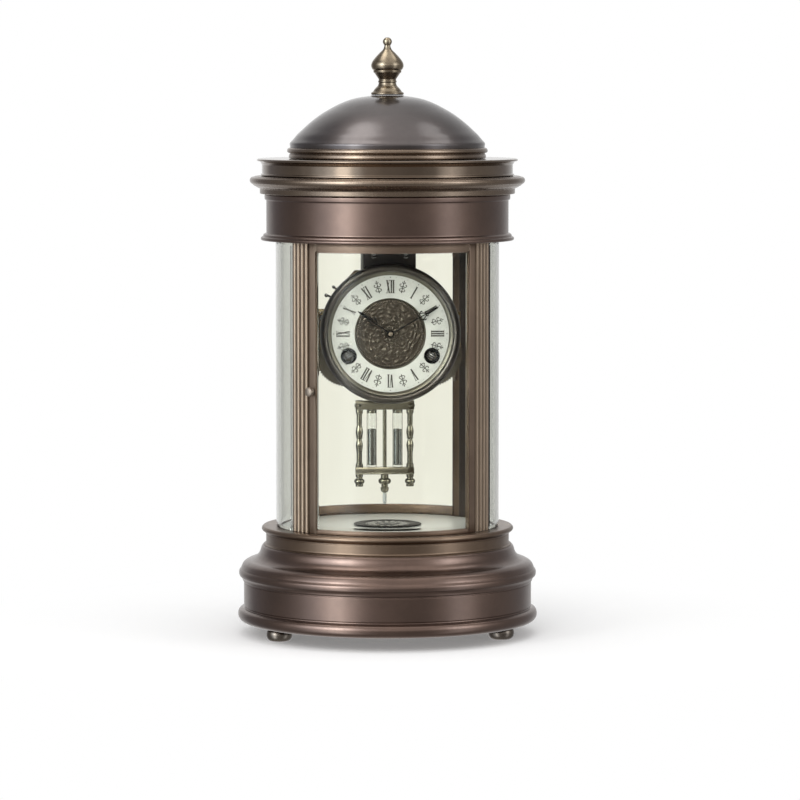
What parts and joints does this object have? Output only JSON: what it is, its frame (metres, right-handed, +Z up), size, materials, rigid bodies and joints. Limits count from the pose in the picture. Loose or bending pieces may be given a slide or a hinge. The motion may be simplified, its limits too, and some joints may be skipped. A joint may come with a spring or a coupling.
{
  "type": "table clock",
  "caption": "Round glazed table clock: turned base on bun feet, curved glass doors between reeded pilasters, domed top with finial, winding dial, jar pendulum.",
  "frame": {"origin": "centre of the footprint, on the floor under the feet", "axes": "+Z up the case to the finial, -Y out of the dial, +X to the right as one faces the dial"},
  "size_m": [0.2248, 0.2248, 0.447],
  "materials": {
    "bronzed_brass": "dark bronzed brass, polished on its mouldings",
    "gilt_brass": "worn gilt brass, satin",
    "dial_brass": "embossed bronzed brass",
    "bright_plate": "mirror-bright floor plate",
    "movement_brass": "brushed clock brass",
    "steel": "dark polished steel",
    "black_iron": "blackened iron",
    "hand_black": "black",
    "white_enamel": "white enamel with black numerals",
    "glass": "clear bevelled plate glass",
    "mercury": "liquid bright",
    "wood": "plain dark stained"
  },
  "bodies": {
    "case": {"foot_front_left": "bronzed_brass", "foot_front_right": "bronzed_brass", "foot_rear_left": "bronzed_brass", "foot_rear_right": "bronzed_brass", "base_board": "wood", "base_plinth": "bronzed_brass", "base_collar": "bronzed_brass", "floor_plate": "bright_plate", "floor_medallion": "black_iron", "pilaster_front_left": "bronzed_brass", "pilaster_front_right": "bronzed_brass", "pilaster_rear_left": "bronzed_brass", "pilaster_rear_right": "bronzed_brass", "side_glass_left": "glass", "side_glass_right": "glass", "frieze": "bronzed_brass", "cornice": "bronzed_brass", "ceiling_plate": "bronzed_brass", "cap": "bronzed_brass", "dome": "bronzed_brass", "finial": "gilt_brass", "movement_bracket": "black_iron", "front_plate": "movement_brass", "back_plate": "movement_brass", "suspension_cock": "movement_brass", "dial_bezel": "gilt_brass", "chapter_ring": "white_enamel", "dial_centre": "dial_brass", "bell": "movement_brass"},
    "front_door": {"front_door_frame": "bronzed_brass", "front_door_glass": "glass"},
    "front_latch": {"front_door_knob": "bright_plate"},
    "rear_door": {"rear_door_frame": "bronzed_brass", "rear_door_glass": "glass"},
    "rear_latch": {"rear_door_knob": "bright_plate"},
    "pendulum": {"suspension_spring": "steel", "pendulum_rod": "movement_brass", "pendulum_top_bar": "movement_brass", "pendulum_frame": "movement_brass", "pendulum_jar_left": "glass", "pendulum_jar_right": "glass", "mercury_left": "mercury", "mercury_right": "mercury"},
    "rating_nut": {"rating_nut": "movement_brass"},
    "anchor": {"anchor": "steel"},
    "escape_wheel": {"escape_wheel": "movement_brass"},
    "third_wheel": {"third_wheel": "movement_brass"},
    "centre_wheel": {"centre_wheel": "movement_brass"},
    "second_wheel": {"second_wheel": "movement_brass"},
    "going_barrel": {"going_barrel": "movement_brass", "going_mainspring": "steel"},
    "going_winding": {"going_winding_arbor": "steel"},
    "strike_barrel": {"strike_barrel": "movement_brass", "strike_mainspring": "steel"},
    "strike_winding": {"strike_winding_arbor": "steel"},
    "hammer": {"hammer": "steel"},
    "minute_hand": {"minute_hand": "hand_black"},
    "minute_wheel": {"minute_wheel": "movement_brass"},
    "hour_hand": {"hour_wheel": "movement_brass", "hour_hand": "hand_black"}
  },
  "joints": [
    {"name": "front_door_hinge", "type": "hinge", "parent": "case", "child": "front_door", "pos_m": [0.05997, -0.05767, 0.18915], "axis": [0, 0, 1], "range_deg": [0, 100]},
    {"name": "front_latch_turn", "type": "hinge", "parent": "front_door", "child": "front_latch", "pos_m": [-0.05872, -0.06007, 0.187], "axis": [-0.699, -0.7151, 0], "range_deg": [0, 90]},
    {"name": "rear_door_hinge", "type": "hinge", "parent": "case", "child": "rear_door", "pos_m": [-0.05997, 0.05767, 0.18915], "axis": [0, 0, 1], "range_deg": [0, 100]},
    {"name": "rear_latch_turn", "type": "hinge", "parent": "rear_door", "child": "rear_latch", "pos_m": [0.05872, 0.06007, 0.187], "axis": [0.699, 0.7151, 0], "range_deg": [0, 90]},
    {"name": "pendulum_swing", "type": "hinge", "parent": "case", "child": "pendulum", "pos_m": [0, 0.036, 0.26699], "axis": [0, 1, 0], "range_deg": [-4, 4]},
    {"name": "rating_nut_turn", "type": "hinge", "parent": "pendulum", "child": "rating_nut", "pos_m": [0, 0.036, 0.104], "axis": [0, 0, 1], "continuous": true},
    {"name": "anchor_rock", "type": "hinge", "parent": "case", "child": "anchor", "pos_m": [0, 0, 0.26699], "axis": [0, 1, 0], "range_deg": [-4, 4]},
    {"name": "third_wheel_spin", "type": "hinge", "parent": "case", "child": "third_wheel", "pos_m": [-0.0071, 0, 0.24016], "axis": [0, 1, 0], "continuous": true},
    {"name": "escape_wheel_spin", "type": "hinge", "parent": "case", "child": "escape_wheel", "pos_m": [0, 0, 0.25194], "axis": [0, 1, 0], "continuous": true},
    {"name": "centre_wheel_spin", "type": "hinge", "parent": "case", "child": "centre_wheel", "pos_m": [0, 0, 0.228], "axis": [0, 1, 0], "continuous": true},
    {"name": "second_wheel_spin", "type": "hinge", "parent": "case", "child": "second_wheel", "pos_m": [0.01349, 0, 0.23299], "axis": [0, 1, 0], "continuous": true},
    {"name": "going_barrel_spin", "type": "hinge", "parent": "case", "child": "going_barrel", "pos_m": [0.0308, 0, 0.2116], "axis": [0, 1, 0], "continuous": true},
    {"name": "going_winding_turn", "type": "hinge", "parent": "case", "child": "going_winding", "pos_m": [0.0308, 0, 0.2116], "axis": [0, 1, 0], "continuous": true},
    {"name": "strike_barrel_spin", "type": "hinge", "parent": "case", "child": "strike_barrel", "pos_m": [-0.0308, 0, 0.2116], "axis": [0, 1, 0], "continuous": true},
    {"name": "strike_winding_turn", "type": "hinge", "parent": "case", "child": "strike_winding", "pos_m": [-0.0308, 0, 0.2116], "axis": [0, 1, 0], "continuous": true},
    {"name": "hammer_lift", "type": "hinge", "parent": "case", "child": "hammer", "pos_m": [0.04019, 0.015, 0.22204], "axis": [0, 1, 0], "range_deg": [-15, 0]},
    {"name": "minute_hand_spin", "type": "hinge", "parent": "case", "child": "minute_hand", "pos_m": [0, -0.04, 0.228], "axis": [0, 1, 0], "continuous": true},
    {"name": "minute_wheel_spin", "type": "hinge", "parent": "case", "child": "minute_wheel", "pos_m": [-0.00594, -0.029, 0.22206], "axis": [0, 1, 0], "continuous": true},
    {"name": "hour_hand_spin", "type": "hinge", "parent": "case", "child": "hour_hand", "pos_m": [0, -0.038, 0.228], "axis": [0, 1, 0], "continuous": true}
  ],
  "couplings": [
    {"joint": "anchor_rock", "follows": "pendulum_swing", "ratio": 1},
    {"joint": "escape_wheel_spin", "follows": "third_wheel_spin", "ratio": -13.333},
    {"joint": "centre_wheel_spin", "follows": "third_wheel_spin", "ratio": -0.1},
    {"joint": "second_wheel_spin", "follows": "third_wheel_spin", "ratio": 0.016667},
    {"joint": "going_barrel_spin", "follows": "third_wheel_spin", "ratio": -0.0023148},
    {"joint": "minute_wheel_spin", "follows": "minute_hand_spin", "ratio": -0.33333},
    {"joint": "hour_hand_spin", "follows": "minute_hand_spin", "ratio": 0.083333}
  ]
}
